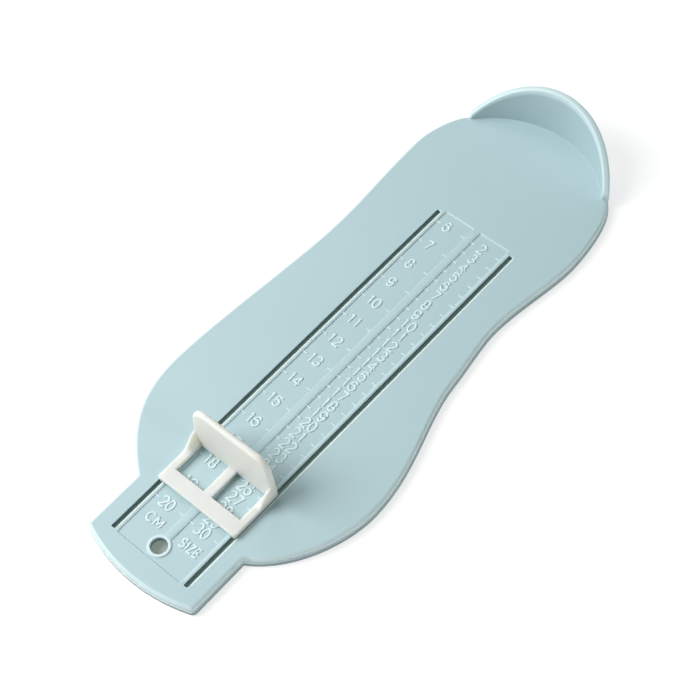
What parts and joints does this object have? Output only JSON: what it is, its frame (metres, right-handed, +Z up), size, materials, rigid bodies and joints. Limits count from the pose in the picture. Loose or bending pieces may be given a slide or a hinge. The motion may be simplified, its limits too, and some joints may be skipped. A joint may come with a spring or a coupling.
{
  "type": "foot measuring device",
  "caption": "Foot-shaped base plate with a heel stop, raised length and size scales, and a two-window slider with an upright toe stop that runs in two slots.",
  "frame": {"origin": "on the standing surface, under the middle of the whole device", "axes": "+Y toward the heel stop, +X toward the size column (the right side, read with the heel at the top), +Z up"},
  "size_m": [0.09, 0.2276, 0.025],
  "materials": {
    "base_plastic": "satin moulded, pale aqua",
    "slider_plastic": "satin moulded, off-white"
  },
  "bodies": {
    "base": {"base_plate": "base_plastic"},
    "slider": {"slider": "slider_plastic"}
  },
  "joints": [
    {"name": "slider_travel", "type": "slide", "parent": "base", "child": "slider", "axis": [0, 1, 0], "range_m": [-0.0245, 0.1195]}
  ]
}
